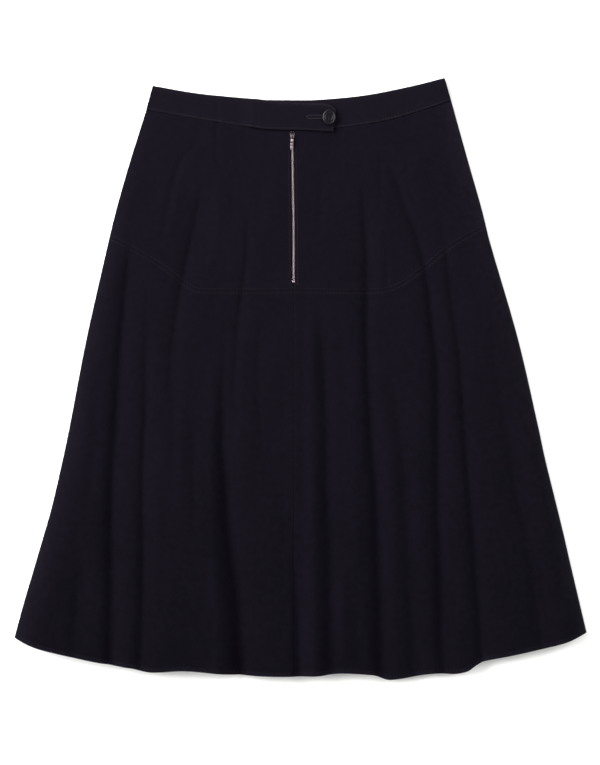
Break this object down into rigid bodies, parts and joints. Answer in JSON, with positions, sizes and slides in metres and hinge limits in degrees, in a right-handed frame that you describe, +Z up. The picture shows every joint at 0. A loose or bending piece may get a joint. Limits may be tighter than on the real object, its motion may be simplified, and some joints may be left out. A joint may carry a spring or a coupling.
{
  "type": "suede a-line skirt",
  "caption": "Dark suede a-line midi skirt laid flat, with a curved front yoke, a centre front metal zip and a buttoned waistband tab.",
  "frame": {"origin": "on the surface that the skirt lies on, under the middle of its outline", "axes": "+X towards the wearer's left, +Y up the skirt towards the waist, +Z up from the surface, out of the skirt's front"},
  "size_m": [0.7237, 0.7601, 0.0216],
  "materials": {
    "suede": "soft napped suede, very dark navy to aubergine",
    "zip_tape": "woven tape",
    "zip_metal": "warm silver, softly polished",
    "button": "satin"
  },
  "bodies": {
    "skirt": {"back_panel": "suede", "front_yoke_right": "suede", "front_yoke_left": "suede", "front_skirt_right": "suede", "front_skirt_left": "suede", "waistband_back": "suede", "waistband_right": "suede", "waistband_left": "suede", "zip_tape_right": "zip_tape", "zip_tape_left": "zip_tape", "zip_chain": "zip_metal", "zip_bottom_stop": "zip_metal", "zip_slider": "zip_metal", "button": "button"},
    "pull_tab": {"zip_pull": "zip_metal"}
  },
  "joints": [
    {"name": "zip_pull_hinge", "type": "hinge", "parent": "skirt", "child": "pull_tab", "pos_m": [-0.01066, 0.3073, 0.0081], "axis": [-1, 0, 0], "range_deg": [0, 165]}
  ]
}
